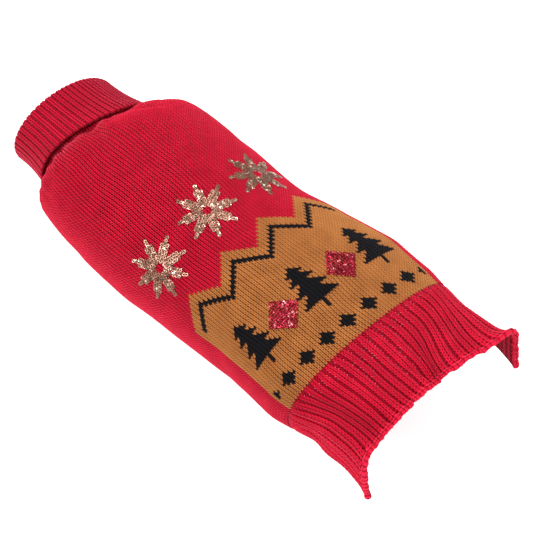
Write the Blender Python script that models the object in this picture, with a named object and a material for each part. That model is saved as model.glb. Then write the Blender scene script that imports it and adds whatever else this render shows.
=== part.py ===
"""Dog sweater: a machine-knitted jumper for a medium dog.

The cloth keeps the hollow form that it has when it is filled out: a level tube
along X with the neck at -X and the hem at +X, its back up.  The roll collar is
turned down over the neck seam.  The back ends in a long rib whose two free
corners hang; the belly piece and its rib end earlier.  The front legs pass
through two openings with narrow rib bands on the underside.

Every piece is a wall of real thickness.  A place on the body is given by two
sizes, both in millimetres: "along" is how far down the body it is from the
neck, and "around" is how far round it lies from the middle of the back,
measured on the cloth, to the wearer's right where it is positive.
"""

import bmesh
import bpy
import numpy as np

MM = 0.001
COLLECTION = "dog_sweater"

# Cloth
PLAIN_WALL = 2.0          # stockinette of the back and the belly
RIB_WALL = 2.6            # collar and ribbed bands
SEAM_GAP = 0.3            # between pieces that are sewn together

# Lengths along the body
NECK_SEAM = -8.0
RIB_START = 318.0         # where the stockinette of back and belly ends
BELLY_END = 338.0         # edge of the short belly rib
HEM = 386.0               # edge of the long back rib, at the middle of the back
CORNER_REACH = 15.0       # the hanging corners lie this much further along
CORNER_BEND = 1.5         # how late, going round, the hem's edge turns to its corners
FLAP_EASE = 8.0           # the free sides start to fall this far before BELLY_END

# The wearer's back carries the sweater here, inside the middle of the back.
HELD_ALONG = 165.0

# Form of the body, one row for each section.  "middle" is the height of the
# widest level, "side" how far the section lies to the right, "askew" how much
# further along its right side is than its middle, "square" how boxy its upper
# half is (2 is an ellipse), and "back_half" the distance round from the middle
# of the back to the side seam.
BODY_COLUMNS = ("along", "half_width", "top", "middle", "bottom",
                "side", "askew", "square", "back_half")
BODY_ROWS = (
    (-8.0, 47.0, 47.0, 7.0, -33.0, 0.0, 0.0, 2.0, 88.0),
    (0.0, 49.0, 49.0, 7.0, -34.0, 0.0, 0.0, 2.0, 92.0),
    (5.5, 51.5, 50.5, 7.0, -35.5, 0.0, 0.0, 2.0, 97.0),
    (9.0, 59.0, 54.0, 5.5, -44.0, 0.0, 0.0, 2.0, 108.0),
    (13.0, 65.5, 56.5, 4.0, -52.0, 0.0, 0.0, 2.0, 117.0),
    (18.0, 71.0, 59.0, 3.0, -56.0, 0.0, 0.0, 2.05, 125.0),
    (26.0, 75.5, 61.5, 2.0, -59.5, 1.5, 0.0, 2.1, 133.0),
    (38.0, 79.8, 63.5, 2.0, -62.0, 2.6, 0.0, 2.1, 139.0),
    (56.0, 82.8, 64.5, 2.0, -63.5, 2.2, 0.0, 2.1, 143.0),
    (74.0, 84.2, 65.0, 2.5, -64.0, 1.2, 0.0, 2.1, 145.0),
    (110.0, 84.8, 65.5, 2.0, -64.5, 0.0, 0.0, 2.1, 146.0),
    (165.0, 82.3, 65.5, 1.0, -64.0, -0.5, 0.0, 2.1, 146.0),
    (215.0, 85.8, 66.0, 6.0, -60.0, 2.3, 2.0, 2.1, 146.0),
    (260.0, 89.5, 64.5, 10.0, -57.0, 4.5, 4.0, 2.15, 142.0),
    (296.0, 90.5, 60.0, 13.0, -54.0, 2.0, 6.0, 2.25, 132.0),
    (318.0, 87.0, 58.0, 14.0, -52.0, 1.5, 7.0, 2.3, 124.0),
    (345.0, 82.5, 55.5, 17.0, -48.0, 1.5, 7.0, 2.4, 123.0),
    (366.0, 82.8, 54.5, 20.0, -45.0, 1.5, 7.0, 2.5, 125.0),
    (386.0, 84.5, 53.0, 24.0, -42.0, 1.0, 7.0, 2.6, 137.5),
)
BODY = {name: np.array(column) for name, column in zip(BODY_COLUMNS, zip(*BODY_ROWS))}

# The neck sits a little askew.  Each row is a wave round the neck: how much
# further along it puts the collar's lower edge and the neck seam at its crest,
# how many crests it has, and the angle of a crest from the top of the neck.
TURN_COLUMNS = ("further", "crests", "crest_angle")
TURN_ROWS = (
    (10.2, 1, 48.0),
    (4.1, 2, 36.0),
)
TURN_FULL_UNTIL, TURN_GONE_BY = 6.0, 60.0

# Collar: a ribbed tube folded in half, so that it is two layers thick.  Its
# rings are ellipses, given for the outer face of the outer layer.
COLLAR_RIM = {"along": -36.0, "half_width": 50.2, "half_height": 43.0, "height": 6.6}
COLLAR_EDGE = {"along": 4.5, "half_width": 55.2, "half_height": 46.4, "height": 7.5}
RIM_SKEW = 8.0            # the rim's right side lies this much further along
LAYER_GAP = 0.8           # between the collar's two layers
COLLAR_WAIST = 1.6        # the outer layer draws in this much between rim and edge

# Openings for the front legs, in the belly on both sides of its middle
LEG_ALONG, LEG_AROUND = 78.0, 192.0
LEG_HALF_LENGTH, LEG_HALF_WIDTH = 32.0, 20.0
LEG_BAND_WIDTH = 7.0
LEG_SPLAY = 15.0          # degrees that the bands point outward from straight down
CUTTER_REACH = 12.0

# Faces
LONGEST_FACE = 14.0       # along the body
BACK_FACES_ROUND = 30
BELLY_FACES_ROUND = 16
COLLAR_SIDES = 48
LEG_SIDES = 28
SHARP_FROM = 40.0         # degrees between two faces

PLAIN_COLOUR = (0.62, 0.012, 0.035)
RIB_COLOUR = (0.57, 0.010, 0.032)


def clear_scene():
    for thing in list(bpy.data.objects):
        bpy.data.objects.remove(thing, do_unlink=True)


def new_collection(name):
    collection = bpy.data.collections.new(name)
    bpy.context.scene.collection.children.link(collection)
    return collection


def knit_material(name, colour):
    material = bpy.data.materials.new(name)
    material.use_nodes = True
    shader = material.node_tree.nodes["Principled BSDF"]
    shader.inputs["Base Color"].default_value = (*colour, 1.0)
    shader.inputs["Roughness"].default_value = 0.95
    shader.inputs["Metallic"].default_value = 0.0
    return material


def ease(t):
    """Soft step from 0 to 1."""
    t = np.clip(t, 0.0, 1.0)
    return t * t * (3.0 - 2.0 * t)


def smooth_value(place, places, values):
    """Read a smooth curve through the table, which doesn't overshoot its rows."""
    steps = np.diff(places)
    slopes = np.diff(values) / steps
    tangents = np.concatenate(([slopes[0]], np.zeros(len(slopes) - 1), [slopes[-1]]))
    before, after = slopes[:-1], slopes[1:]
    same_way = before * after > 0
    tangents[1:-1][same_way] = (2.0 * before * after)[same_way] / (before + after)[same_way]
    i = np.clip(np.searchsorted(places, place, side="right") - 1, 0, len(steps) - 1)
    step = steps[i]
    t = (place - places[i]) / step
    return ((1 + 2 * t) * (1 - t) ** 2 * values[i] + t * (1 - t) ** 2 * step * tangents[i]
            + t * t * (3 - 2 * t) * values[i + 1] + t * t * (t - 1) * step * tangents[i + 1])


def body_size(column, along):
    return smooth_value(along, BODY["along"], BODY[column])


def neck_turn(angle):
    """How much further along the neck lies at an angle round it, in degrees."""
    waves = [further * np.cos(np.radians(crests * (angle - crest_angle)))
             for further, crests, crest_angle in TURN_ROWS]
    return np.sum(waves, axis=0)


def outline_lengths(y, z):
    return np.concatenate(([0.0], np.cumsum(np.hypot(np.diff(y), np.diff(z)))))


def half_outlines(along):
    """Closed and hanging half outlines of a section, from the middle of the back.

    Each is (length round, y, z), with z from the section's widest level.
    """
    width = body_size("half_width", along)
    rise = body_size("top", along) - body_size("middle", along)
    drop = body_size("middle", along) - body_size("bottom", along)
    power = 2.0 / body_size("square", along)
    quarter = np.linspace(0.0, np.pi / 2, 91)
    y_upper, z_upper = width * np.sin(quarter) ** power, rise * np.cos(quarter) ** power
    y_closed = np.concatenate((y_upper, width * np.cos(quarter[1:])))
    z_closed = np.concatenate((z_upper, -drop * np.sin(quarter[1:])))
    y_hanging = np.append(y_upper, width)
    z_hanging = np.append(z_upper, -2.0 * drop)
    return ((outline_lengths(y_closed, z_closed), y_closed, z_closed),
            (outline_lengths(y_hanging, z_hanging), y_hanging, z_hanging))


def half_girth(along):
    return half_outlines(along)[0][0][-1]


def body_ring(along, around):
    """Points of the outer face at one place along and several places round.

    A distance past the middle of the belly goes on up the other side.
    """
    closed, hanging = half_outlines(along)
    half = closed[0][-1]
    around = (around + half) % (2.0 * half) - half
    distance = np.abs(around)
    y = np.interp(distance, closed[0], closed[1])
    z = np.interp(distance, closed[0], closed[2])
    fall = ease((along - BELLY_END + FLAP_EASE) / (HEM - BELLY_END + FLAP_EASE))
    y += fall * (np.interp(distance, hanging[0], hanging[1]) - y)
    z += fall * (np.interp(distance, hanging[0], hanging[2]) - z)
    y = np.copysign(y, around)

    middle = body_size("middle", along)
    height = np.where(z > 0, body_size("top", along) - middle, middle - body_size("bottom", along))
    angle = np.degrees(np.arctan2(y / body_size("half_width", along), z / height))
    turn_left = 1.0 - ease((along - TURN_FULL_UNTIL) / (TURN_GONE_BY - TURN_FULL_UNTIL))
    reach = CORNER_REACH * fall * (distance / body_size("back_half", HEM)) ** CORNER_BEND
    askew = body_size("askew", along) * y / body_size("half_width", along)
    x = along + turn_left * neck_turn(angle) + askew + reach
    return np.stack([x, y + body_size("side", along), z + middle], axis=-1)


def body_normals(along, around, reach=0.5):
    """Outward normals of the outer face, from its slopes along and round."""
    lengthwise = body_ring(along + reach, around) - body_ring(along - reach, around)
    crosswise = body_ring(along, around + reach) - body_ring(along, around - reach)
    normal = np.cross(lengthwise, crosswise)
    return normal / np.linalg.norm(normal, axis=-1, keepdims=True)


HELD_POINT = body_ring(HELD_ALONG, np.array([0.0]))[0] - (0.0, 0.0, PLAIN_WALL)


def piece_mesh(name, points, faces):
    """Mesh in metres, from points in millimetres, with its faces pointing out."""
    mesh = bpy.data.meshes.new(name)
    mesh.from_pydata(((points - HELD_POINT) * MM).tolist(), [], faces)
    work = bmesh.new()
    work.from_mesh(mesh)
    bmesh.ops.recalc_face_normals(work, faces=work.faces)
    work.to_mesh(mesh)
    work.free()
    return mesh


def grid_faces(index):
    """Four-sided faces of a grid of point numbers."""
    corners = (index[:-1, :-1], index[:-1, 1:], index[1:, 1:], index[1:, :-1])
    return [tuple(face) for face in np.stack(corners, axis=-1).reshape(-1, 4).tolist()]


def wall_mesh(name, outer, inner):
    """Closed wall between an outer and an inner grid of points."""
    rings, places = outer.shape[:2]
    outer_index = np.arange(rings * places).reshape(rings, places)
    inner_index = outer_index + rings * places
    faces = grid_faces(outer_index) + grid_faces(inner_index[:, ::-1])
    for edge in (np.s_[0, :], np.s_[-1, :], np.s_[:, 0], np.s_[:, -1]):
        faces += grid_faces(np.stack((outer_index[edge], inner_index[edge])))
    points = np.concatenate((outer.reshape(-1, 3), inner.reshape(-1, 3)))
    return piece_mesh(name, points, faces)


def ring_mesh(name, rings):
    """Closed ring-shaped solid: the rings follow each other round its section."""
    count, places = rings.shape[:2]
    index = np.arange(count * places).reshape(count, places)
    index = np.concatenate((index, index[:1]), axis=0)
    index = np.concatenate((index, index[:, :1]), axis=1)
    return piece_mesh(name, rings.reshape(-1, 3), grid_faces(index))


def drum_mesh(name, rings):
    """Closed solid through two rings, capped with fans."""
    places = rings.shape[1]
    index = np.arange(2 * places).reshape(2, places)
    faces = grid_faces(np.concatenate((index, index[:, :1]), axis=1))
    for ring in range(2):
        middle = 2 * places + ring
        for j in range(places):
            faces.append((int(index[ring, j]), int(index[ring, (j + 1) % places]), middle))
    points = np.concatenate((rings.reshape(-1, 3), rings.mean(axis=1)))
    return piece_mesh(name, points, faces)


def add_object(name, mesh, collection, colour=None):
    piece = bpy.data.objects.new(name, mesh)
    collection.objects.link(piece)
    if colour is None:
        piece.hide_render = True
        piece.display_type = "WIRE"
        return piece
    mesh.materials.append(knit_material(name, colour))
    mesh.shade_smooth()
    mesh.set_sharp_from_angle(angle=np.radians(SHARP_FROM))
    return piece


def back_edges(along):
    """Distances round of the back's two side seams."""
    half = body_size("back_half", along) - SEAM_GAP / 2
    return -half, half


def belly_edges(along):
    """Distances round of the belly's two side seams, past the middle of the belly."""
    half = body_size("back_half", along) + SEAM_GAP / 2
    return half, 2.0 * half_girth(along) - half


def ring_places(start, end):
    """Places along for a piece's rings: the table's own, and others between them."""
    rows = [start] + [row for row in BODY["along"] if start < row < end] + [end]
    places = [start]
    for before, after in zip(rows[:-1], rows[1:]):
        steps = int(np.ceil((after - before) / LONGEST_FACE))
        places += np.linspace(before, after, steps + 1)[1:].tolist()
    return places


def add_panel(name, start, end, edges, faces_round, wall, colour, collection):
    """A piece of the body's wall, from one place along to another."""
    outer, inner = [], []
    for along in ring_places(start, end):
        around = np.linspace(*edges(along), faces_round + 1)
        outer.append(body_ring(along, around))
        inner.append(outer[-1] - wall * body_normals(along, around))
    mesh = wall_mesh(name, np.array(outer), np.array(inner))
    return add_object(name, mesh, collection, colour)


def collar_ellipse(size, along, angles):
    """Ring of the collar and its outward directions."""
    across, up = np.sin(angles), np.cos(angles)
    ring = np.stack((along, size["half_width"] * across,
                     size["height"] + size["half_height"] * up), axis=-1)
    outward = np.stack((0.0 * angles, across / size["half_width"], up / size["half_height"]), axis=-1)
    return ring, outward / np.linalg.norm(outward, axis=-1, keepdims=True)


def add_collar(collection):
    angles = np.linspace(-np.pi, np.pi, COLLAR_SIDES, endpoint=False)
    turn = neck_turn(np.degrees(angles))
    fold = RIB_WALL + LAYER_GAP / 2
    neck = {"half_width": body_size("half_width", NECK_SEAM),
            "half_height": body_size("top", NECK_SEAM) - body_size("middle", NECK_SEAM),
            "height": body_size("middle", NECK_SEAM)}
    rim_along = COLLAR_RIM["along"] + RIM_SKEW * np.sin(angles) + fold
    rim, rim_out = collar_ellipse(COLLAR_RIM, rim_along, angles)
    edge, edge_out = collar_ellipse(COLLAR_EDGE, COLLAR_EDGE["along"] + turn, angles)
    seam, seam_out = collar_ellipse(neck, NECK_SEAM - SEAM_GAP + turn, angles)

    def layer(start, start_out, end, end_out, inset, swell, steps):
        """Rings from one ellipse to another, moved in, both ends included."""
        rings = []
        for t in np.linspace(0.0, 1.0, steps + 1):
            out = (1.0 - t) * start_out + t * end_out
            shift = swell * np.sin(np.pi * t) - ((1.0 - t) * inset[0] + t * inset[1])
            rings.append((1.0 - t) * start + t * end + shift * out)
        return rings

    def rounding(radius, turns):
        """Rings round the fold at the rim, between its two layers."""
        return [rim - fold * rim_out + radius * (np.cos(turn_angle) * rim_out
                                                 - np.sin(turn_angle) * np.array((1.0, 0.0, 0.0)))
                for turn_angle in turns]

    rings = layer(seam, seam_out, rim, rim_out, (RIB_WALL, 2.0 * fold), 0.0, 2)
    rings += rounding(fold, np.radians((144.0, 108.0, 72.0, 36.0)))
    rings += layer(rim, rim_out, edge, edge_out, (0.0, 0.0), -COLLAR_WAIST, 3)
    rings += layer(edge, edge_out, rim, rim_out, (RIB_WALL, RIB_WALL), -COLLAR_WAIST, 3)
    rings += rounding(LAYER_GAP / 2, np.radians((90.0,)))
    rings += layer(rim, rim_out, seam, seam_out, (RIB_WALL + LAYER_GAP, 0.0), 0.0, 2)
    add_object("collar", ring_mesh("collar", np.array(rings)), collection, RIB_COLOUR)


def leg_outline(side, grow):
    """Ring on the body's outer face round a leg opening, made larger by grow."""
    turns = np.linspace(0.0, 2.0 * np.pi, LEG_SIDES, endpoint=False)
    along = LEG_ALONG + (LEG_HALF_LENGTH + grow) * np.cos(turns)
    around = side * (LEG_AROUND + (LEG_HALF_WIDTH + grow) * np.sin(turns))
    return np.array([body_ring(x, np.array([a]))[0] for x, a in zip(along, around)])


def leg_direction(side):
    splay = np.radians(LEG_SPLAY)
    return np.array((0.0, side * np.sin(splay), -np.cos(splay)))


def add_leg_band(name, side, collection):
    """Narrow rib tube that stands out from a leg opening."""
    out = leg_direction(side)
    inside, outside = leg_outline(side, 0.0), leg_outline(side, RIB_WALL)
    profile = [(inside, -PLAIN_WALL), (inside, LEG_BAND_WIDTH / 2), (inside, LEG_BAND_WIDTH),
               (outside, LEG_BAND_WIDTH), (outside, LEG_BAND_WIDTH / 2), (outside, -PLAIN_WALL)]
    rings = np.array([ring + height * out for ring, height in profile])
    add_object(name, ring_mesh(name, rings), collection, RIB_COLOUR)


def cut_leg_opening(panel, side, cutters):
    outline = leg_outline(side, RIB_WALL + SEAM_GAP)
    reach = CUTTER_REACH * leg_direction(side)
    rings = np.array([outline - reach, outline + reach])
    name = "leg_cutter_right" if side > 0 else "leg_cutter_left"
    cutter = add_object(name, drum_mesh(name, rings), cutters)
    cut = panel.modifiers.new(name, "BOOLEAN")
    cut.operation = "DIFFERENCE"
    cut.solver = "EXACT"
    cut.object = cutter


def main():
    clear_scene()
    pieces, cutters = new_collection(COLLECTION), new_collection(COLLECTION + "_cutters")
    half_seam = SEAM_GAP / 2
    add_panel("back_panel", NECK_SEAM, RIB_START - half_seam, back_edges,
              BACK_FACES_ROUND, PLAIN_WALL, PLAIN_COLOUR, pieces)
    add_panel("back_hem_rib", RIB_START + half_seam, HEM, back_edges,
              BACK_FACES_ROUND, RIB_WALL, RIB_COLOUR, pieces)
    belly = add_panel("belly_panel", NECK_SEAM, RIB_START - half_seam, belly_edges,
                      BELLY_FACES_ROUND, PLAIN_WALL, PLAIN_COLOUR, pieces)
    add_panel("belly_hem_rib", RIB_START + half_seam, BELLY_END, belly_edges,
              BELLY_FACES_ROUND, RIB_WALL, RIB_COLOUR, pieces)
    add_collar(pieces)
    for name, side in (("leg_band_left", -1.0), ("leg_band_right", 1.0)):
        add_leg_band(name, side, pieces)
        cut_leg_opening(belly, side, cutters)


main()
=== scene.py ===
"""Looks of the dog sweater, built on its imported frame.

Every knitted piece is a thin closed shell on its solid's form.  Its mesh is
the knit's own lattice: a wale is four columns of faces wide, and a course two
rows long.  The rows are sheared into the V of the stitches.  Colours change
from stitch to stitch.  Rolled edges, sequins and glints are pieces of their own.

Sizes are in millimetres until a mesh is made.  "along" runs from the neck to
the hem, and "around" from the middle of the back, on the cloth, to the right.
"""

import math

import bpy
import numpy as np
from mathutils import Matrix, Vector


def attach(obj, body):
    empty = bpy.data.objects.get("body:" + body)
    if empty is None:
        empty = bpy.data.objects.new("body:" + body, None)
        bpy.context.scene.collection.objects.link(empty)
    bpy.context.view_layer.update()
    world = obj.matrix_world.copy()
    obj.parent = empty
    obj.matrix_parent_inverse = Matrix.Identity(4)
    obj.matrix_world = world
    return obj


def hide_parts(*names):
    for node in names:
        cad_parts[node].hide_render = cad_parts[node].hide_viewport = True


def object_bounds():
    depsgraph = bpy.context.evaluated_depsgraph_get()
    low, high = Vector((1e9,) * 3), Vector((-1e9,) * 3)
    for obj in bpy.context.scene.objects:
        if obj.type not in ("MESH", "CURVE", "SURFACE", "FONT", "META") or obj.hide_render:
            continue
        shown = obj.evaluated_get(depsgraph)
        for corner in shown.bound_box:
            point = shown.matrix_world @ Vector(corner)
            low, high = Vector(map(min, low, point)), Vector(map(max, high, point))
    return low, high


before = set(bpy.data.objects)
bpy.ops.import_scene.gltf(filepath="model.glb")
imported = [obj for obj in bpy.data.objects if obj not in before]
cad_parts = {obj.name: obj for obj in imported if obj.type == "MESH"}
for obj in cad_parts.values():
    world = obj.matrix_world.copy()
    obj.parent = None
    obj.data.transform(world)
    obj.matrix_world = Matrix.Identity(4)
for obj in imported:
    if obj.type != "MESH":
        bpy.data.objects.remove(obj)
CAD_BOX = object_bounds()

MM = 0.001
TURN = 2.0 * math.pi


def by_column(names, rows):
    """Table as one array for each column's name."""
    return {name: np.array(column) for name, column in zip(names, zip(*rows))}


def by_row(names, rows):
    """Table as one dictionary for each row."""
    return [dict(zip(names, row)) for row in rows]


# ---------------------------------------------------------------- the form
# The solids' own named sizes and rows

PLAIN_WALL, RIB_WALL, SEAM_GAP = 2.0, 2.6, 0.3
SEAM_LAP = 0.2  # how far each side edge runs past the seam
NECK_SEAM, RIB_START, BELLY_END, HEM = -8.0, 318.0, 338.0, 386.0
CORNER_REACH, CORNER_BEND, FLAP_EASE = 15.0, 1.5, 8.0
HELD_ALONG = 165.0
QUARTER_POINTS = 91  # of an outline, in a quarter turn

BODY = by_column(("along", "half_width", "top", "middle", "bottom",
                  "side", "askew", "square", "back_half"), (
    (-8.0, 47.0, 47.0, 7.0, -33.0, 0.0, 0.0, 2.0, 88.0),
    (0.0, 49.0, 49.0, 7.0, -34.0, 0.0, 0.0, 2.0, 92.0),
    (5.5, 51.5, 50.5, 7.0, -35.5, 0.0, 0.0, 2.0, 97.0),
    (9.0, 59.0, 54.0, 5.5, -44.0, 0.0, 0.0, 2.0, 108.0),
    (13.0, 65.5, 56.5, 4.0, -52.0, 0.0, 0.0, 2.0, 117.0),
    (18.0, 71.0, 59.0, 3.0, -56.0, 0.0, 0.0, 2.05, 125.0),
    (26.0, 75.5, 61.5, 2.0, -59.5, 1.5, 0.0, 2.1, 133.0),
    (38.0, 79.8, 63.5, 2.0, -62.0, 2.6, 0.0, 2.1, 139.0),
    (56.0, 82.8, 64.5, 2.0, -63.5, 2.2, 0.0, 2.1, 143.0),
    (74.0, 84.2, 65.0, 2.5, -64.0, 1.2, 0.0, 2.1, 145.0),
    (110.0, 84.8, 65.5, 2.0, -64.5, 0.0, 0.0, 2.1, 146.0),
    (165.0, 82.3, 65.5, 1.0, -64.0, -0.5, 0.0, 2.1, 146.0),
    (215.0, 85.8, 66.0, 6.0, -60.0, 2.3, 2.0, 2.1, 146.0),
    (260.0, 89.5, 64.5, 10.0, -57.0, 4.5, 4.0, 2.15, 142.0),
    (296.0, 90.5, 60.0, 13.0, -54.0, 2.0, 6.0, 2.25, 132.0),
    (318.0, 87.0, 58.0, 14.0, -52.0, 1.5, 7.0, 2.3, 124.0),
    (345.0, 82.5, 55.5, 17.0, -48.0, 1.5, 7.0, 2.4, 123.0),
    (366.0, 82.8, 54.5, 20.0, -45.0, 1.5, 7.0, 2.5, 125.0),
    (386.0, 84.5, 53.0, 24.0, -42.0, 1.0, 7.0, 2.6, 137.5),
))
TURN_ROWS = ((10.2, 1, 48.0), (4.1, 2, 36.0))  # further, crests, crest_angle
TURN_FULL_UNTIL, TURN_GONE_BY = 6.0, 60.0

COLLAR_RIM = {"along": -36.0, "half_width": 50.2, "half_height": 43.0, "height": 6.6}
COLLAR_EDGE = {"along": 4.5, "half_width": 55.2, "half_height": 46.4, "height": 7.5}
RIM_SKEW, LAYER_GAP, COLLAR_WAIST = 8.0, 0.8, 1.6

LEG_ALONG, LEG_AROUND = 78.0, 192.0
LEG_HALF_LENGTH, LEG_HALF_WIDTH = 32.0, 20.0
LEG_BAND_WIDTH, LEG_SPLAY = 7.0, 15.0

# ---------------------------------------------------------------- the knit
PLAIN_COURSES = 116  # of the back, to the rib
COURSE = (RIB_START - NECK_SEAM) / PLAIN_COURSES
HEM_COURSES, BELLY_RIB_COURSES = 24, 7
FIRST_COURSE = 2  # those before it are inside the collar
BACK_WALES, HEM_WALES, BELLY_WALES = 90, 102, 57
PER_WALE, PER_COURSE = 4, 2  # faces across a wale, along a course
RIB_WALES = 3  # two knit wales and a purl one
KNIT_SHARE = 0.405  # of a rib's width, for each knit wale
RIB_RISE, RIB_DEPTH = 1.3, -1.6  # heights of its ridge and its gutter
RIB_LEAD, RIB_FORMS_OVER = 1.0, 12.0  # where the rib begins to form, and how fast
RIB_UNEVEN, RIB_UNEVEN_OVER, RIB_UNEVEN_AT = 1.5, 7.3, 0.7  # how the ribs stray from even spacing
RIB_HEM_RISE = 0.35  # how much more the ribs stand out at the hem
RIB_STITCH_SHARE = 0.6  # of the plain knit's relief, on a rib
INSIDE_GROOVE = 0.5  # depth of each rib's groove on the inside
SHEAR = 1.0  # courses that a stitch's sides lie nearer the neck than its middle
END_COURSES = 3  # the shear fades over these, before a hem
RIB_TUCK = 1  # courses of a rib that lie under the plain knit's last stitches
TUCK_DEPTH, TUCK_FADE_COURSES = 0.75, 3.0
STITCH_OUT = (0.0, 0.5, 1.0)  # from a stitch's middle to the gutter
STITCH_HEIGHTS = (-0.25, 0.20, -1.50)  # between two stitches of a wale
CREST_HEIGHTS = (0.20, 0.35, 0.20)  # added at a stitch's crest
PURL_CREST = 0.35
WANDERS = by_row(("reach", "along", "around", "phase"), (  # long waves that the wales follow
    (2.2, 44.0, 70.0, -0.4),
    (0.7, 17.0, -29.0, 1.1),
    (0.35, 8.5, 11.0, 2.0),
))
MIDDLE_CROWDING = 1.18  # how much wider than the average the middle wales may be
NECK_NARROWING, NECK_SPREADS_OVER = 0.24, 70.0  # of the wales as they leave the neck

# Soft troughs (negative) and ridges.  "heading" is the angle
# of the fold's line from the body's length, toward the right.
FOLD_BEND = 0.35  # of each fold's line
FOLDS = by_row(("along", "around", "heading", "half_length", "half_width", "height"), (
    (18.0, -12.5, -13.0, 19.0, 5.0, -4.4),  # dimple under the middle of the collar
    (18.0, -3.0, -9.0, 17.0, 6.0, 1.7),
    (24.0, 32.0, 42.0, 16.0, 3.4, -4.4),  # fold that leads off the collar's far side
    (19.0, 42.0, 44.0, 16.0, 5.0, 2.0),
    (31.0, 25.0, 38.0, 16.0, 6.0, 1.0),
    (18.0, -48.0, -34.0, 11.0, 3.4, -1.5),
    (15.0, -60.0, -40.0, 10.0, 3.2, -1.7),
    (19.0, -72.0, -42.0, 12.0, 3.4, -1.5),
    (24.0, -88.0, -30.0, 13.0, 3.6, -1.4),
    (70.0, -112.0, 58.0, 34.0, 11.0, -1.1),
    (128.0, -118.0, 74.0, 30.0, 13.0, 0.9),
    (236.0, -116.0, -62.0, 34.0, 12.0, -1.2),
    (290.0, -96.0, 70.0, 26.0, 8.0, -0.9),
    (96.0, 112.0, -60.0, 32.0, 11.0, -1.3),
    (188.0, 120.0, 70.0, 36.0, 12.0, -1.1),
    (262.0, 104.0, -76.0, 28.0, 10.0, 0.9),
    (150.0, 12.0, 84.0, 52.0, 24.0, -0.8),
    (240.0, 34.0, -80.0, 46.0, 20.0, -0.7),
    (384.0, 2.0, 14.0, 24.0, 3.6, -4.4),  # where the rib pinches at the hem
    (384.0, 12.0, 8.0, 22.0, 6.0, 1.6),
    (386.0, -48.0, 8.0, 24.0, 3.8, -4.2),
    (384.0, -38.0, 10.0, 20.0, 5.0, 1.4),
    (384.0, -92.0, -12.0, 20.0, 6.0, -1.8),
    (382.0, 52.0, -6.0, 22.0, 5.0, -1.9),
    (386.0, 78.0, 90.0, 14.0, 7.5, 6.5),  # roll of the far corner
    (338.0, -108.0, 25.0, 12.0, 5.0, -3.6),
    (351.0, -121.0, 22.0, 12.0, 5.0, 2.2),
    (370.0, -133.0, 15.0, 13.0, 4.0, -1.3),
    (60.0, 182.0, 40.0, 24.0, 8.0, -1.4),  # on the belly
    (120.0, -188.0, -46.0, 26.0, 9.0, -1.5),
    (200.0, 214.0, 80.0, 40.0, 12.0, -1.4),
    (262.0, -206.0, 66.0, 34.0, 10.0, 1.2),
))
# Where the wales gather: shift to the side, how far it reaches, and where it begins and ends
GATHERS = by_row(("around", "shift", "reach", "from", "to"), (
    (-92.0, 13.0, 26.0, 316.0, 356.0),
    (-128.0, -8.0, 12.0, 330.0, 386.0),
    (28.0, -15.0, 22.0, 332.0, 386.0),
    (64.0, -15.0, 20.0, 322.0, 374.0),
    (50.0, -13.0, 26.0, 62.0, 8.0),  # beside the neck
))
PUCKER_HEIGHT, PUCKER_EVERY, PUCKER_FADE = 0.8, 12.4, 8.0
PUCKER_UNEVEN, PUCKER_UNEVEN_OVER = 1.3, 17.0
NECK_DIP, NECK_DIP_ALONG, NECK_DIP_WIDTH = 3.0, 6.5, 4.5  # of the cloth under the collar's edge
CURL, CURL_BELLY, CURL_FROM, CURL_POWER = 8.0, 5.0, 344.0, 8  # of the hem's far corner

# -------------------------------------------------------------- the rings
# The columns of a ring's rib: the V of its knit wale, and then the gutter
RING = by_column(("within", "out", "shear", "height"), (
    (0.00, 1.0, 2, -0.25),
    (0.22, 0.5, 1, 0.42),
    (0.43, 0.0, 0, 0.25),
    (0.64, 0.5, 1, 0.42),
    (0.86, 1.0, 2, -0.25),
    (0.93, 1.0, 1, -0.80),
))
RING_WALES = np.array((0.0, 0.25, 0.5, 0.75, 1.0, 1.5, 2.0))  # wale number at each column's edge
RING_PER_RIB, RING_GUTTER_FROM = len(RING["within"]), 4
RING_ARM_CREST, RING_CREST = 0.38, 0.14  # added in every other row
RELIEF_FADE_ROWS, SHEAR_FADE_ROWS = 2, 6
RING_WAVES = ((1.0, 9, 0.0), (1.0, 14, 1.0), (1.0, 23, 2.0))
RING_UNEVEN = 0.005
RING_CROWDING, RING_CROWDING_AT = 0.36, 0.5  # of the ribs toward one side
COLLAR_RIBS, LEG_RIBS = 58, 30
COLLAR_OUTSIDE_ROWS, COLLAR_FOLD_ROWS, COLLAR_INSIDE_ROWS = 29, 7, 20
LIP_ANGLES = (60.0, 20.0)
LINING_PLACES, BACKING_PLACES = (0.0, 0.5, 1.0), (0.0, 0.33, 0.67, 1.0)
LEG_SIDE_ROWS, LEG_RIM_ANGLES, LEG_RIM_ROOM = 6, (45.0, 90.0, 135.0), 1.2
LEG_HOLE_SIDES, LEG_HOLE_DEPTH = 72, 16.0

# The rolled edges
CHAIN_PER_WALE, CHAIN_SIDES = 6, 12
CHAIN_RADIUS, BELLY_CHAIN_RADIUS = 2.6, 1.5
CHAIN_BACK = 0.3  # courses from the hem's last row
CHAIN_SINK, CHAIN_GUTTER_SINK, CHAIN_GUTTER_THIN = 0.7, 0.9, 0.24
CHAIN_AHEAD, CHAIN_STRAY = 0.2, 0.3
CHAIN_STRAY_WAVES = ((0.5, 1.3, 0.0), (0.4, 0.49, 2.0))
CHAIN_WIDTH_WAVES = ((0.09, 0.37, 0.0), (0.08, 0.115, 1.0))
CHAIN_TAPER, CHAIN_TIP = 0.7, 0.02
CHAIN_SWELL, CHAIN_TWIST, CHAIN_TURNS = 0.06, 0.30, 3.0

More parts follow.
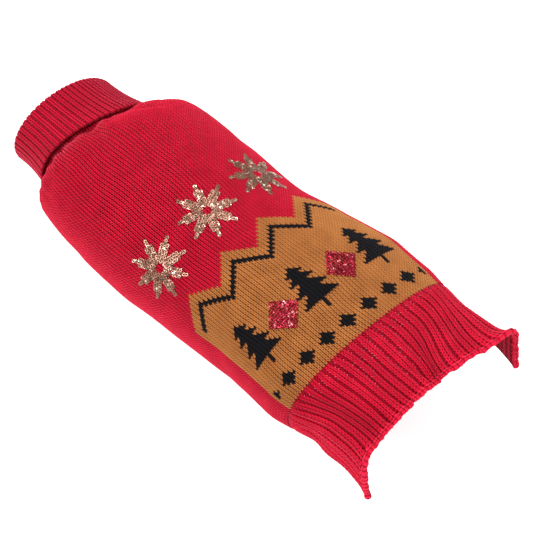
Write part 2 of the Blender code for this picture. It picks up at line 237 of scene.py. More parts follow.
# ------------------------------------------------------------- the design
DESIGN_MIDDLE = -3  # wale at the middle of the design
FIELD_HALF = 28  # wales of ochre on both sides of it
FIELD_LOW, ZIGZAG = 40, 7  # courses up to its edge, and its teeth
LINE_DROP, LINE_WIDTH, LINE_INSET = 6, 2, 2  # black line under the edge
FIR_PLACES, FIR_BASE = (-20, 0, 20), 12
FIR_HALF_WIDTHS = (0, 0, 0, 5, 4, 3, 2, 4, 3, 2, 1, 3, 2, 1, 2, 1, 0)
SEED_EVERY, SEED_COURSE, SEED_REACH = 7, 5, 2  # row of small black diamonds
DIAMOND_PLACES, DIAMOND_COURSE = (-10, 10), 20
DIAMOND_STEPS, DIAMOND_STEP = 6, 2.4
STAR_ALONG, STAR_PLACES = 150.0, (-19, 0, 19)
STAR_POINTS, STAR_REACH, STAR_HALF_WIDTH, STAR_STEP, STAR_ROWS = 8, 25.5, 5.2, 2.5, 1
STAR_OPEN = 2.0  # steps left bare at its middle
# Radius and height of a cup sequin's rings, from its hole to its rim and under
SEQUIN_RINGS = ((0.56, 0.06), (0.62, 0.0), (1.30, 0.04), (1.75, 0.20), (1.72, 0.12))
SEQUIN_SIDES, SEQUIN_LIFT = 12, 0.55
LOOSE_SHARE, LOOSE_SPREAD, SEWN_SPREAD = 0.16, 0.22, 0.07
LOOSE_LEAN, SEWN_LEAN = (0.05, -0.42), (0.10, 0.0)
GLINT_RIB, GLINT_RIBS_AROUND = 15, 6.0  # rib where the metal thread shows most
GLINT_BARE_RIBS, GLINT_SIDES = 3, (0.1, 1.9)  # at each side, and wales of a rib it runs by
GLINT_REACH, GLINT_LIFT, GLINT_SIZE = (0.2, 0.9), (-0.1, 0.35), (0.20, 0.40)
GLINT_CHANCE, GLINT_CHANCE_FALL = 0.75, 0.5
STAR_SEED, DIAMOND_SEED, GLINT_SEED = 7, 11, 5

# Colours: painted shade for the gaps between the stitches, the yarn, and a painted highlight for the yarn's
# lit fibres
RED = ((0.010, 0.0, 0.001), (0.32, 0.001, 0.013), (0.80, 0.014, 0.047))
# A darker copy of the red: painted shade on the collar; the insides' purl takes it too
SHADED_RED = ((0.008, 0.0, 0.001), (0.26, 0.001, 0.012), (0.63, 0.011, 0.040))
# A darker copy of the red for the ribs' gutters: painted shade
GUTTER_SHADE_RED = ((0.010, 0.0, 0.001), (0.22, 0.0, 0.009), (0.54, 0.005, 0.026))
OCHRE = ((0.018, 0.005, 0.002), (0.33, 0.100, 0.026), (0.61, 0.235, 0.062))
BLACK = ((0.001, 0.001, 0.001), (0.004, 0.004, 0.005), (0.013, 0.012, 0.014))
# A lighter copy of the red for the rolled edges: painted light
LIT_CHAIN_RED = ((0.05, 0.0, 0.003), (0.42, 0.002, 0.018), (0.84, 0.014, 0.055))
RED_SHEEN, OCHRE_SHEEN, BLACK_SHEEN = (1.0, 0.16, 0.24), (1.0, 0.62, 0.32), (0.12, 0.12, 0.13)
SHEEN, SHEEN_ROUGHNESS, YARN_ROUGHNESS, YARN_SPECULAR = 0.7, 0.32, 0.92, 0.08
YARN_STOPS = (0.04, 0.42, 0.80)  # where the ramp puts the painted shade, the yarn and the painted highlight
# Shares in a yarn's shade: the stitches' painted shade and highlight, the fibres, the plies' painted shade,
# and random patches
STITCH_SHADE_SHARE, FIBRE_SHARE, PLY_SHADE_SHARE, MOTTLE, INLAY_MOTTLE = 0.80, 0.20, 0.035, 0.18, 0.34
FIBRE_SCALE, PATCH_SCALE = 1500.0, 60.0
# Sequins: their colour, a painted lit colour, and a painted glint
ROSE_GOLD = ((0.17, 0.082, 0.050), (0.30, 0.155, 0.100), (0.95, 0.80, 0.70))
RED_FOIL = ((0.17, 0.002, 0.011), (0.38, 0.014, 0.034), (0.90, 0.32, 0.36))
METAL_THREAD = ((0.45, 0.50, 0.62), (0.80, 0.84, 0.95))
FLOOR_GREYS = ((0.86, 0.86, 0.86), (0.90, 0.90, 0.90))
WHITE = (1.0, 1.0, 1.0)


# ---------------------------------------------------------------- the body
def ease(t):
    """Soft step from 0 to 1."""
    t = np.clip(t, 0.0, 1.0)
    return t * t * (3.0 - 2.0 * t)


def add_waves(total, place, waves):
    """The total with sine waves added; each has a reach, a rate and a phase."""
    for reach, rate, phase in waves:
        total = total + reach * np.sin(rate * place + phase)
    return total


def unit(vectors):
    return vectors / np.linalg.norm(vectors, axis=-1, keepdims=True)


def smooth_value(place, places, values):
    """Read a smooth curve through the table, which doesn't overshoot its rows."""
    steps = np.diff(places)
    slopes = np.diff(values) / steps
    tangents = np.concatenate(([slopes[0]], np.zeros(len(slopes) - 1), [slopes[-1]]))
    before, after = slopes[:-1], slopes[1:]
    same_way = before * after > 0
    tangents[1:-1][same_way] = (2.0 * before * after)[same_way] / (before + after)[same_way]
    i = np.clip(np.searchsorted(places, place, side="right") - 1, 0, len(steps) - 1)
    step = steps[i]
    t = (place - places[i]) / step
    return ((1 + 2 * t) * (1 - t) ** 2 * values[i] + t * (1 - t) ** 2 * step * tangents[i]
            + t * t * (3 - 2 * t) * values[i + 1] + t * t * (t - 1) * step * tangents[i + 1])


def body_size(column, along):
    return smooth_value(along, BODY["along"], BODY[column])


def neck_turn(angle):
    """How much further along the neck lies at an angle round it, in degrees."""
    waves = [further * np.cos(np.radians(crests * (angle - crest_angle)))
             for further, crests, crest_angle in TURN_ROWS]
    return np.sum(waves, axis=0)


def outline_lengths(y, z):
    return np.concatenate(([0.0], np.cumsum(np.hypot(np.diff(y), np.diff(z)))))


def half_outlines(along):
    """Closed and hanging half outlines of a section: (length round, y, z) of each."""
    width = body_size("half_width", along)
    rise = body_size("top", along) - body_size("middle", along)
    drop = body_size("middle", along) - body_size("bottom", along)
    power = 2.0 / body_size("square", along)
    quarter = np.linspace(0.0, np.pi / 2, QUARTER_POINTS)
    y_upper, z_upper = width * np.sin(quarter) ** power, rise * np.cos(quarter) ** power
    y_closed = np.concatenate((y_upper, width * np.cos(quarter[1:])))
    z_closed = np.concatenate((z_upper, -drop * np.sin(quarter[1:])))
    y_hanging = np.append(y_upper, width)
    z_hanging = np.append(z_upper, -2.0 * drop)
    return ((outline_lengths(y_closed, z_closed), y_closed, z_closed),
            (outline_lengths(y_hanging, z_hanging), y_hanging, z_hanging))


def body_ring(along, around, outlines=None):
    """Points of the outer face at one place along and several places round."""
    closed, hanging = outlines or half_outlines(along)
    half = closed[0][-1]
    around = (around + half) % (2.0 * half) - half
    distance = np.abs(around)
    y = np.interp(distance, closed[0], closed[1])
    z = np.interp(distance, closed[0], closed[2])
    fall = ease((along - BELLY_END + FLAP_EASE) / (HEM - BELLY_END + FLAP_EASE))
    y += fall * (np.interp(distance, hanging[0], hanging[1]) - y)
    z += fall * (np.interp(distance, hanging[0], hanging[2]) - z)
    y = np.copysign(y, around)

    middle = body_size("middle", along)
    height = np.where(z > 0, body_size("top", along) - middle, middle - body_size("bottom", along))
    angle = np.degrees(np.arctan2(y / body_size("half_width", along), z / height))
    turn_left = 1.0 - ease((along - TURN_FULL_UNTIL) / (TURN_GONE_BY - TURN_FULL_UNTIL))
    reach = CORNER_REACH * fall * (distance / body_size("back_half", HEM)) ** CORNER_BEND
    askew = body_size("askew", along) * y / body_size("half_width", along)
    x = along + turn_left * neck_turn(angle) + askew + reach
    return np.stack([x, y + body_size("side", along), z + middle], axis=-1)


def body_frame(along, around, reach=0.5):
    """Points of the outer face, and its directions outward and lengthwise."""
    outlines = half_outlines(along)
    lengthwise = body_ring(along + reach, around) - body_ring(along - reach, around)
    crosswise = (body_ring(along, around + reach, outlines)
                 - body_ring(along, around - reach, outlines))
    outward = np.cross(lengthwise, crosswise)
    return body_ring(along, around, outlines), unit(outward), unit(lengthwise)


HELD_POINT = body_ring(HELD_ALONG, np.array([0.0]))[0] - (0.0, 0.0, PLAIN_WALL)


def half_girth(along):
    return half_outlines(along)[0][0][-1]


def fold_height(along, around):
    """How far the cloth's folds lift it, at one place along and several round."""
    height = np.zeros_like(around)
    for fold in FOLDS:
        heading = math.radians(fold["heading"])
        down, side = along - fold["along"], around - fold["around"]
        lengthwise = (down * math.cos(heading) + side * math.sin(heading)) / fold["half_length"]
        across = (side * math.cos(heading) - down * math.sin(heading)) / fold["half_width"]
        across = across + FOLD_BEND * lengthwise ** 2
        height += fold["height"] * np.exp(-lengthwise ** 2 - across ** 2)
    past_collar = max(along - COLLAR_EDGE["along"], 0.0)
    wave = np.cos(TURN * around / PUCKER_EVERY + PUCKER_UNEVEN * np.sin(around / PUCKER_UNEVEN_OVER))
    height -= NECK_DIP * math.exp(-((along - NECK_DIP_ALONG) / NECK_DIP_WIDTH) ** 2)
    return height + PUCKER_HEIGHT * wave * math.exp(-past_collar / PUCKER_FADE)


def cloth_frame(along, around, lift=0.0):
    """Points on the folded cloth, or over it, and its directions outward and lengthwise."""
    points, outward, lengthwise = body_frame(along, around)
    height = fold_height(along, around) + lift
    return points + height[:, None] * outward, outward, lengthwise


# ------------------------------------------------------------- the lattice
def rib_squeeze(wale, amount):
    """Wale numbers moved so that each rib's knit wales are broad and its purl one narrow."""
    rib, within = np.divmod(wale / RIB_WALES, 1.0)
    moved = np.interp(within, (0.0, 1 / 3, 2 / 3, 1.0), (0.0, KNIT_SHARE, 2 * KNIT_SHARE, 1.0))
    return RIB_WALES * (rib + within + amount * (moved - within))


def wander(along, around):
    """How far the wales stray to the side: long waves, uneven ribs, and gathers."""
    stray = 0.0
    for wave in WANDERS:
        turned = along / wave["along"] + around / wave["around"] + wave["phase"]
        stray = stray + wave["reach"] * np.sin(turned)
    uneven = np.sin(around / RIB_UNEVEN_OVER + RIB_UNEVEN_AT)
    stray = stray + RIB_UNEVEN * rib_amount(along) * uneven
    for gather in GATHERS:
        share = ease((along - gather["from"]) / (gather["to"] - gather["from"]))
        nearness = np.exp(-((around - gather["around"]) / gather["reach"]) ** 2)
        stray = stray + gather["shift"] * share * nearness
    return stray


def rib_amount(along):
    """How much of the rib has formed, from 0 to 1."""
    return ease((along - RIB_START + RIB_LEAD) / RIB_FORMS_OVER)


def back_around(along, wale, wales=BACK_WALES):
    """Where the back's wales lie; they keep their width beside the neck's middle."""
    half = body_size("back_half", along) + SEAM_LAP
    share = 2.0 * rib_squeeze(wale, rib_amount(along)) / wales - 1.0
    spread = 1.0 - NECK_NARROWING * (1.0 - ease((along - NECK_SEAM) / NECK_SPREADS_OVER))
    middle = min(spread * BODY["back_half"].max() / half, MIDDLE_CROWDING)
    around = half * (middle * share + (1.0 - middle) * share ** 3)
    down = (along - CURL_FROM) / (HEM - CURL_FROM)
    curl = CURL * ease(2.0 * down) + CURL_BELLY * math.sin(math.pi * min(max(down, 0.0), 1.0))
    around = around + wander(along, around) * (1.0 - share ** 4)
    return around - curl * np.maximum(share, 0.0) ** CURL_POWER


def back_rib_around(along, wale):
    return back_around(along, wale, HEM_WALES)


def belly_around(along, wale):
    half = body_size("back_half", along) - SEAM_LAP
    share = rib_squeeze(wale, rib_amount(along)) / BELLY_WALES
    around = half + (2.0 * half_girth(along) - 2.0 * half) * share
    return around + wander(along, around) * (1.0 - (2.0 * share - 1.0) ** 4)


def stitch_out(column):
    """How far a column lies from the middle of its stitch: 1 is the gutter between wales."""
    return np.abs((column % PER_WALE) / (PER_WALE / 2) - 1.0)


def knit_relief(column, row, amount):
    """Height of the lattice's points; amount is how much of the rib has formed."""
    crest = np.abs((row / PER_COURSE + 0.5) % 1.0 - 0.5) * 2.0  # 0 between stitches, 1 crest
    out = stitch_out(column)
    stitch = np.interp(out, STITCH_OUT, STITCH_HEIGHTS) + np.interp(out, STITCH_OUT, CREST_HEIGHTS) * crest
    across = (column / (PER_WALE * RIB_WALES)) % 1.0  # of a rib
    arch = np.sin(np.pi * np.clip(across * RIB_WALES / (RIB_WALES - 1), 0.0, 1.0)) ** 0.5
    purl = RIB_DEPTH + PURL_CREST * crest
    ribbed = np.where((across > 0.0) & (across * RIB_WALES < RIB_WALES - 1),
                      RIB_STITCH_SHARE * stitch + RIB_RISE * (arch - 0.5), purl)
    return stitch + amount * (ribbed - stitch)


def numbered(shape, first=0, ring_down=False, ring_across=False):
    """Grid of point numbers; a ring's first row or column comes again at its end."""
    index = first + np.arange(shape[0] * shape[1]).reshape(shape[:2])
    if ring_down:
        index = np.concatenate((index, index[:1]), axis=0)
    if ring_across:
        index = np.concatenate((index, index[:, :1]), axis=1)
    return index


def grid_faces(index):
    """Four-cornered faces of a grid of point numbers."""
    corners = (index[:-1, :-1], index[1:, :-1], index[1:, 1:], index[:-1, 1:])
    return np.stack(corners, axis=-1).reshape(-1, 4)


def wall_faces(kept, outer_index, inner_index):
    """Faces that join the outside to the inside along every edge of the kept stitches."""
    ringed = np.pad(kept, 1)
    faces = []
    for down, right in ((-1, 0), (1, 0), (0, -1), (0, 1)):
        bare = ~np.roll(ringed, (-down, -right), (0, 1))[1:-1, 1:-1]
        for i, j in np.argwhere(kept & bare):
            if right == 0:
                row = i + (down > 0)
                edge = outer_index[row * PER_COURSE, j * PER_WALE:(j + 1) * PER_WALE + 1]
                ends = inner_index[row, j:j + 2]
            else:
                column = j + (right > 0)
                edge = outer_index[i * PER_COURSE:(i + 1) * PER_COURSE + 1, column * PER_WALE]
                ends = inner_index[i:i + 2, column]
            if down > 0 or right < 0:
                edge, ends = edge[::-1], ends[::-1]
            faces.append([int(ends[0]), *edge.tolist(), int(ends[1])])
    return faces


def knit_lattice(first_course, courses, wales, around_of, ribbed):
    """Points of the sheared lattice and their directions outward, with its rows and columns."""
    columns = np.arange(wales * PER_WALE + 1)
    rows = np.arange(first_course * PER_COURSE, (first_course + courses) * PER_COURSE + 1)
    reach = int(PER_COURSE * SHEAR)
    base = np.arange(rows[0] - reach, rows[-1] + 1)
    points = np.empty((len(base), len(columns), 3))
    outward = np.empty_like(points)
    for i, row in enumerate(base):
        along = NECK_SEAM + COURSE * row / PER_COURSE
        points[i], outward[i], _ = cloth_frame(along, around_of(along, columns / PER_WALE))
    # the shear: a stitch's sides lie nearer the neck than its middle
    left = (rows[-1] - rows) / (END_COURSES * PER_COURSE)
    sheared = np.clip(left, 0.0, 1.0) if ribbed else np.ones(len(rows))
    place = np.arange(len(rows))[:, None] + reach * (1.0 - sheared[:, None] * stitch_out(columns)[None, :])
    before = np.minimum(np.floor(place).astype(int), len(base) - 2)
    part = (place - before)[..., None]
    points, outward = ((1.0 - part) * grid[before, columns] + part * grid[before + 1, columns]
                       for grid in (points, outward))

    amount = np.array([rib_amount(NECK_SEAM + COURSE * row / PER_COURSE) for row in rows])
    sunk = np.zeros(len(rows))
    if ribbed:
        amount *= 1.0 + RIB_HEM_RISE * np.clip(1.0 - left, 0.0, 1.0)
        tucked = (rows - rows[0]) / (TUCK_FADE_COURSES * RIB_TUCK * PER_COURSE)
        sunk = TUCK_DEPTH * (1.0 - ease(tucked))
    relief = knit_relief(columns[None, :], rows[:, None], amount[:, None])
    return points - sunk[:, None, None] * outward, outward, relief, rows, columns


def yarn_sides(yarn, ribbed, other_side):
    """Material numbers of the stitches on the outside and on the inside."""
    if not ribbed:
        return yarn, yarn + other_side
    # On a rib, the outside's purl wales and the inside's other wales take the second yarn, the darker gutter
    # red: painted shade.
    purl = np.broadcast_to(np.arange(yarn.shape[1]) % RIB_WALES == RIB_WALES - 1, yarn.shape)
    return np.where(purl, other_side, 0), np.where(purl, 0, other_side)


def shell(name, first_course, courses, wales, around_of, wall, colour_of, materials,
          ribbed=False, keep=None):
    """Knitted piece of the body: lattice outside, coarser inside, closed all round."""
    points, outward, relief, rows, columns = knit_lattice(first_course, courses, wales, around_of, ribbed)
    face = points + relief[..., None] * outward
    inside = points[::PER_COURSE, ::PER_WALE] - wall * outward[::PER_COURSE, ::PER_WALE]
    if ribbed:
        groove = np.arange(inside.shape[1]) % RIB_WALES == 1
        inside = inside + INSIDE_GROOVE * groove[None, :, None] * outward[::PER_COURSE, ::PER_WALE]

    outer_index = numbered(face.shape)
    inner_index = numbered(inside.shape, outer_index.size)
    outer_faces, inner_faces = grid_faces(outer_index), grid_faces(inner_index)[:, ::-1]
    course, wale = np.divmod(np.arange(courses * wales), wales)
    yarn = colour_of(wale, first_course + course).reshape(courses, wales)
    outer_yarn, inner_yarn = yarn_sides(yarn, ribbed, len(materials) // 2)
    kept = np.ones((courses, wales), dtype=bool)
    if keep is not None:
        kept = keep((inside[:-1, :-1] + inside[1:, 1:]).reshape(-1, 3) / 2).reshape(courses, wales)
    fine = (np.arange(len(rows) - 1)[:, None] // PER_COURSE, np.arange(len(columns) - 1)[None, :] // PER_WALE)
    outer_kept, outer_yarn = kept[fine].ravel(), outer_yarn[fine].ravel()
    walls = wall_faces(kept, outer_index, inner_index)
    faces = outer_faces[outer_kept].tolist() + inner_faces[kept.ravel()].tolist() + walls
    colours = outer_yarn[outer_kept].tolist() + inner_yarn[kept].tolist() + [0] * len(walls)
    stitches = np.stack(np.meshgrid(columns / PER_WALE, rows / PER_COURSE), -1)
    uv = np.concatenate((stitches.reshape(-1, 2), stitches[::PER_COURSE, ::PER_WALE].reshape(-1, 2)))
    vertices = np.concatenate((face.reshape(-1, 3), inside.reshape(-1, 3)))
    return make_piece(name, vertices, faces, uv, materials, colours)


def add_object(name, data):
    """Object in the scene's collection."""
    thing = bpy.data.objects.new(name, data)
    bpy.context.scene.collection.objects.link(thing)
    return thing


def make_piece(name, points, faces, uv=None, materials=(), colours=None, smooth=True):
    """Object in metres from points in millimetres."""
    mesh = bpy.data.meshes.new(name)
    mesh.from_pydata(((points - HELD_POINT) * MM).tolist(), [], faces)
    for material in materials:
        mesh.materials.append(material)
    if colours is not None:
        mesh.polygons.foreach_set("material_index", np.asarray(colours, dtype=np.int32))
    if uv is not None:
        layer = mesh.uv_layers.new(name="stitches")
        corner = np.empty(len(mesh.loops), dtype=np.int32)
        mesh.loops.foreach_get("vertex_index", corner)
        layer.data.foreach_set("uv", uv[corner].astype(np.float32).ravel())
    if smooth:
        mesh.shade_smooth()
    mesh.update()
    return add_object(name, mesh)


# --------------------------------------------------------------- materials
class Nodes:
    """Short calls for a material's node tree."""

    def __init__(self, name):
        self.material = bpy.data.materials.new(name)
        self.material.use_nodes = True
        self.tree = self.material.node_tree
        self.shader = self.tree.nodes["Principled BSDF"]

    def put(self, node, sockets):
        """Set or link a node's sockets."""
        for socket, value in sockets.items():
            if isinstance(value, bpy.types.NodeSocket):
                self.tree.links.new(value, node.inputs[socket])
            else:
                node.inputs[socket].default_value = value
        return node

    def new(self, kind, sockets):
        return self.put(self.tree.nodes.new("ShaderNode" + kind), sockets)

    def surface(self, sockets):
        """The material, once its shader's sockets are set."""
        self.put(self.shader, sockets)
        return self.material

    def math(self, operation, a, b=0.0, clamp=False):
        node = self.new("Math", {0: a, 1: b})
        node.operation, node.use_clamp = operation, clamp
        return node.outputs[0]

    def times(self, a, b):
        return self.math("MULTIPLY", a, b)

    def plus(self, a, b, clamp=False):
        return self.math("ADD", a, b, clamp)

    def minus(self, a, b):
        return self.math("SUBTRACT", a, b)

    def step(self, value, low, high, to_low=0.0, to_high=1.0):
        """Smooth step of a value, from one span to another."""
        node = self.new("MapRange", {"Value": value, "From Min": low, "From Max": high,
                                     "To Min": to_low, "To Max": to_high})
        node.interpolation_type = "SMOOTHSTEP"
        return node.outputs["Result"]

    def noise(self, scale, detail=3.0):
        place = self.new("TexCoord", {}).outputs["Object"]
        return self.new("TexNoise", {"Scale": scale, "Detail": detail, "Vector": place}).outputs["Fac"]

    def stitch_place(self):
        """Numbers of the wale and of the course."""
        node = self.new("UVMap", {})
        node.uv_map = "stitches"
        split = self.new("SeparateXYZ", {0: node.outputs["UV"]})
        return split.outputs[0], split.outputs[1]

    def ramp(self, value, stops):
        node = self.new("ValToRGB", {0: value})
        ramp = node.color_ramp
        while len(ramp.elements) < len(stops):
            ramp.elements.new(1.0)
        for element, (place, colour) in zip(ramp.elements, stops):
            element.position, element.color = place, (*colour, 1.0)
        return node.outputs[0]

    def bump(self, height, distance, strength, **under):
        return self.new("Bump", {"Height": height, "Distance": distance, "Strength": strength,
                                 **under}).outputs[0]


# Painted shade of each kind of knit: how dark it is between its wales and in the middle of its
# stitches, each along the yarn and at the hole between one stitch and the next, and across its arms
HOLE_SHADE_COLUMNS = ("seam", "seam_hole", "slit", "slit_hole", "arm")
HOLE_SHADE_ROWS = {
    "knit": (0.60, 1.0, 0.36, 1.0, 0.14),
    "inlay": (0.60, 1.0, 0.34, 1.0, 0.16),
    "rib": (0.42, 0.86, 0.30, 0.80, 0.08),
    "collar": (0.50, 0.85, 0.45, 0.80, 0.08),
}


def knit_body(nodes, place, across, crest, kind):
    """How full the V of a knit stitch is, with painted shade in its gaps, and how far its yarn has turned."""
    hole_shade = dict(zip(HOLE_SHADE_COLUMNS, HOLE_SHADE_ROWS[kind]))
    out = nodes.math("ABSOLUTE", nodes.minus(nodes.times(across, 2.0), 1.0))
    hole = nodes.step(crest, 0.92, 0.15)
    gutter = nodes.times(nodes.step(out, 0.36, 0.90),
                         nodes.step(hole, 0.0, 1.0, hole_shade["seam"], hole_shade["seam_hole"]))
    middle = nodes.times(nodes.step(out, 0.56, 0.0),
                         nodes.step(hole, 0.0, 1.0, hole_shade["slit"], hole_shade["slit_hole"]))
    painted_shade = nodes.math("MAXIMUM", nodes.math("MAXIMUM", gutter, middle), nodes.times(hole, hole_shade["arm"]))
    twist = nodes.plus(nodes.times(place[1], 3.0), nodes.times(out, 1.6))
    return nodes.minus(1.0, painted_shade), twist


def purl_body(nodes, place, across, crest):
    """The same for a purl stitch, a bar across its wale, with painted shade between the bars."""
    wide = nodes.math("SINE", nodes.times(across, math.pi))
    body = nodes.times(nodes.math("POWER", crest, 0.8), nodes.step(wide, -0.1, 0.7, 0.35, 1.0))
    return body, nodes.plus(nodes.times(place[0], 4.0), place[1])


def chain_body(nodes, place, across, crest):
    """The same for a rolled edge's stitch, a bead of yarn, with painted shade between the beads."""
    body = nodes.times(nodes.step(across, 0.0, 0.3, 0.5, 1.0), nodes.step(across, 1.0, 0.7, 0.5, 1.0))
    body = nodes.times(body, nodes.step(crest, 0.0, 0.6, 0.45, 1.0))
    return body, nodes.plus(nodes.times(place[0], 2.0), nodes.times(place[1], 3.0))


def yarn_material(name, colours, sheen, kind):
    """Yarn whose stitches are read from the lattice: a kind of knit, purl or chain. Its colour has painted
    shade in the gaps and a painted highlight on the lit yarn.
    """
    nodes = Nodes(name)
    place = nodes.stitch_place()
    across, down = (nodes.math("FRACT", number) for number in place)
    crest = nodes.math("SINE", nodes.times(down, math.pi))
    if kind in HOLE_SHADE_ROWS:
        body, twist = knit_body(nodes, place, across, crest, kind)
    else:
        body, twist = {"purl": purl_body, "chain": chain_body}[kind](nodes, place, across, crest)
    plies = nodes.math("SINE", nodes.times(twist, TURN))
    fibres = nodes.noise(FIBRE_SCALE, 4.0)
    patches = nodes.noise(PATCH_SCALE, 2.0)
    mottle = INLAY_MOTTLE if kind == "inlay" else MOTTLE
    # the stitches' painted shade and highlight, random fibres and patches, and a little painted shade along
    # the plies
    shade = nodes.plus(nodes.times(body, STITCH_SHADE_SHARE), nodes.times(nodes.minus(fibres, 0.5), FIBRE_SHARE))
    shade = nodes.plus(shade, nodes.times(nodes.minus(patches, 0.5), mottle))
    shade = nodes.plus(shade, nodes.times(plies, PLY_SHADE_SHARE), clamp=True)
    relief = nodes.bump(nodes.plus(body, nodes.times(plies, 0.10)), 0.0007, 0.8)
    relief = nodes.bump(fibres, 0.0003, 0.25, Normal=relief)
    return nodes.surface({
        "Base Color": nodes.ramp(shade, tuple(zip(YARN_STOPS, colours))), "Normal": relief,
        "Roughness": YARN_ROUGHNESS, "Specular IOR Level": YARN_SPECULAR, "Sheen Weight": SHEEN,
        "Sheen Roughness": SHEEN_ROUGHNESS, "Sheen Tint": (*sheen, 1.0)})


def sequin_material(name, colours, metallic):
    """Foil with painted highlights: noise patches of it are painted lit, and a few painted as a glint."""
    nodes = Nodes(name)
    colour, lit, glint = colours
    stops = ((0.36, colour), (0.58, lit), (0.62, lit), (0.67, glint))
    return nodes.surface({
        "Base Color": nodes.ramp(nodes.noise(300.0, 2.0), stops), "Metallic": metallic,
        "Roughness": nodes.step(nodes.noise(900.0), 0.3, 0.7, 0.16, 0.30)})


def glint_material():
    """Metal thread."""
    nodes = Nodes("metal_thread")
    dull, bright = METAL_THREAD
    colour = nodes.ramp(nodes.noise(2000.0), ((0.3, dull), (0.7, bright)))
    return nodes.surface({"Base Color": colour, "Metallic": 0.6, "Roughness": 0.3})


# ------------------------------------------------------------- the pieces
RED_INDEX, OCHRE_INDEX, BLACK_INDEX = 0, 1, 2


def plain_colour(wale, course):
    return np.zeros(wale.shape, dtype=int)


def design_colour(wale, course):
    """Colour of each of the back's stitches, from its place in the design."""
    side = wale - BACK_WALES // 2 - DESIGN_MIDDLE
    up = PLAIN_COURSES - 1 - course
    tooth = np.abs((side + ZIGZAG) % (2 * ZIGZAG) - ZIGZAG)
    edge = FIELD_LOW + tooth
    field = (np.abs(side) <= FIELD_HALF) & (up < edge)
    line = field & (up >= edge - LINE_DROP) & (up < edge - LINE_DROP + LINE_WIDTH)
    black = line & (np.abs(side) <= FIELD_HALF - LINE_INSET)
    for place in FIR_PLACES:
        row = up - FIR_BASE
        inside = (row >= 0) & (row < len(FIR_HALF_WIDTHS))
        half = np.array(FIR_HALF_WIDTHS)[np.clip(row, 0, len(FIR_HALF_WIDTHS) - 1)]
        black |= inside & (np.abs(side - place) <= half)
    seed = np.abs((side + SEED_EVERY // 2) % SEED_EVERY - SEED_EVERY // 2)
    black |= field & (np.abs(side) < FIELD_HALF) & (seed + np.abs(up - SEED_COURSE) <= SEED_REACH)
    return np.where(black, BLACK_INDEX, np.where(field, OCHRE_INDEX, RED_INDEX))


def leg_ring(side, grow, sides):
    """Points round a leg opening, grown by some millimetres, on the body's outer face."""
    turns = np.linspace(0.0, TURN, sides, endpoint=False)
    along = LEG_ALONG + (LEG_HALF_LENGTH + grow) * np.cos(turns)
    around = side * (LEG_AROUND + (LEG_HALF_WIDTH + grow) * np.sin(turns))
    return np.array([body_ring(x, np.array([a]))[0] for x, a in zip(along, around)])


def leg_out(side):
    splay = math.radians(LEG_SPLAY)
    return np.array((0.0, side * math.sin(splay), -math.cos(splay)))


def inside_ring(points, ring, out):
    """Which points lie inside a ring, seen along its direction out."""
    first = np.array((1.0, 0.0, 0.0))
    second = np.cross(out, first)
    centre = ring.mean(axis=0)
    flat, edge = points - centre, ring - centre
    angle = np.arctan2(flat @ second, flat @ first)
    edge_angle = np.arctan2(edge @ second, edge @ first)
    order = np.argsort(edge_angle)
    reach = np.interp(angle, edge_angle[order], np.hypot(edge @ second, edge @ first)[order], period=TURN)
    near = np.abs(flat @ out) < LEG_HOLE_DEPTH
    return near & (np.hypot(flat @ second, flat @ first) < reach)


def outside_legs(points):
    """Which points of the belly's cloth aren't in the leg openings."""
    away = np.ones(len(points), dtype=bool)
    for side in (-1.0, 1.0):
        away &= ~inside_ring(points, leg_ring(side, RIB_WALL / 2, LEG_HOLE_SIDES), leg_out(side))
    return away


def ring_piece(name, path, ribs, materials, relief_rows):
    """Closed ribbed ring.  path(angles) gives the points and directions outward of each
    row of its section; the first relief_rows of them carry the ribs."""
    columns = np.arange(ribs * RING_PER_RIB)
    rib, phase = np.divmod(columns, RING_PER_RIB)
    turned = TURN * (rib + RING["within"][phase]) / ribs - math.pi
    uneven = add_waves(0.0, turned, RING_WAVES)
    angles = turned + RING_UNEVEN * uneven + RING_CROWDING * np.cos(turned + RING_CROWDING_AT)
    points, outward = path(angles)
    rows = points.shape[0]
    row = np.arange(rows)[:, None]
    # the shear fades out before the relief ends, so that no row runs back over another
    fade = np.clip((relief_rows - RELIEF_FADE_ROWS - row) / SHEAR_FADE_ROWS, 0.0, 1.0)
    picked = row + fade * RING["shear"][phase]
    whole = np.floor(picked).astype(int)
    part = (picked - whole)[..., None]
    after = np.minimum(whole + 1, rows - 1)
    points, outward = ((1 - part) * grid[whole, columns] + part * grid[after, columns]
                       for grid in (points, outward))
    crest = row % PER_COURSE
    arm = RING["out"][phase] == 0.5
    heights = RING["height"][phase] + np.where(arm, RING_ARM_CREST * crest, RING_CREST * crest)
    carried = np.clip((relief_rows - row) / RELIEF_FADE_ROWS, 0.0, 1.0)
    face = points + (heights * carried)[..., None] * outward

    index = numbered(face.shape, ring_down=True, ring_across=True)
    phase, rib = np.tile(phase, rows), np.tile(rib, rows)
    # the gutter columns take the second yarn, the darker gutter red: painted shade
    colours = np.where(phase >= RING_GUTTER_FROM, 1, 0)
    piece = make_piece(name, face.reshape(-1, 3), grid_faces(index).tolist(), None, materials, colours)
    # a ring's last faces share its first points, so its stitches are numbered by face corner
    right, below = np.array((0, 0, 1, 1)), np.array((0, 1, 1, 0))
    wale = RING_WALES[phase[:, None] + right] + RING_WALES[-1] * rib[:, None]
    course = (np.repeat(row.ravel(), len(columns))[:, None] + below) / PER_COURSE
    layer = piece.data.uv_layers.new(name="stitches")
    layer.data.foreach_set("uv", np.stack((wale, course), -1).reshape(-1).astype(np.float32))
    return piece


def add_bend(points, outward, centre, radius, start, toward, angles):
    """Add the rows of a section that turn about a centre, from one direction to another."""
    for angle in angles:
        direction = math.cos(angle) * start + math.sin(angle) * toward
        points.append(centre + radius * direction)
        outward.append(direction)


